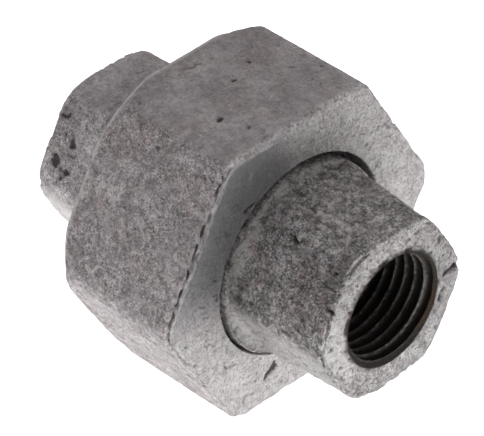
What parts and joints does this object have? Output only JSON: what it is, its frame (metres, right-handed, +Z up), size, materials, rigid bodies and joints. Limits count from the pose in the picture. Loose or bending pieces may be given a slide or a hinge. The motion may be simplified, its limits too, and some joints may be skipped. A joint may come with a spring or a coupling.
{
  "type": "pipe union",
  "caption": "Galvanised malleable-iron pipe union with hexagonal ends, an internal pipe thread at each end, a flat seal ring and a hexagonal union nut.",
  "frame": {"origin": "on the pipe axis, midway between the two end faces", "axes": "+X along the pipe axis toward the tail piece, +Z up with the union lying on one flat of its nut"},
  "size_m": [0.0426, 0.0388, 0.0344],
  "materials": {
    "head_zinc": "rough hot-dip galvanised casting",
    "tail_zinc": "very rough hot-dip galvanised casting, bare cut thread inside",
    "seal": "matte",
    "nut_zinc": "rough hot-dip galvanised casting"
  },
  "bodies": {
    "head": {"head_piece": "head_zinc"},
    "seal": {"seal_ring": "seal"},
    "nut": {"union_nut": "nut_zinc"},
    "tail": {"tail_piece": "tail_zinc"}
  },
  "joints": [
    {"name": "seal_draw", "type": "slide", "parent": "head", "child": "seal", "axis": [1, 0, 0], "range_m": [0, 0.0075]},
    {"name": "nut_turn", "type": "hinge", "parent": "seal", "child": "nut", "pos_m": [-0.0005, 0, 0], "axis": [1, 0, 0], "range_deg": [0, 1800.01]},
    {"name": "tail_swivel", "type": "hinge", "parent": "seal", "child": "tail", "pos_m": [0.0113, 0, 0], "axis": [1, 0, 0], "continuous": true}
  ],
  "couplings": [
    {"joint": "nut_turn", "follows": "seal_draw", "rad_per_m": 4188.8}
  ]
}
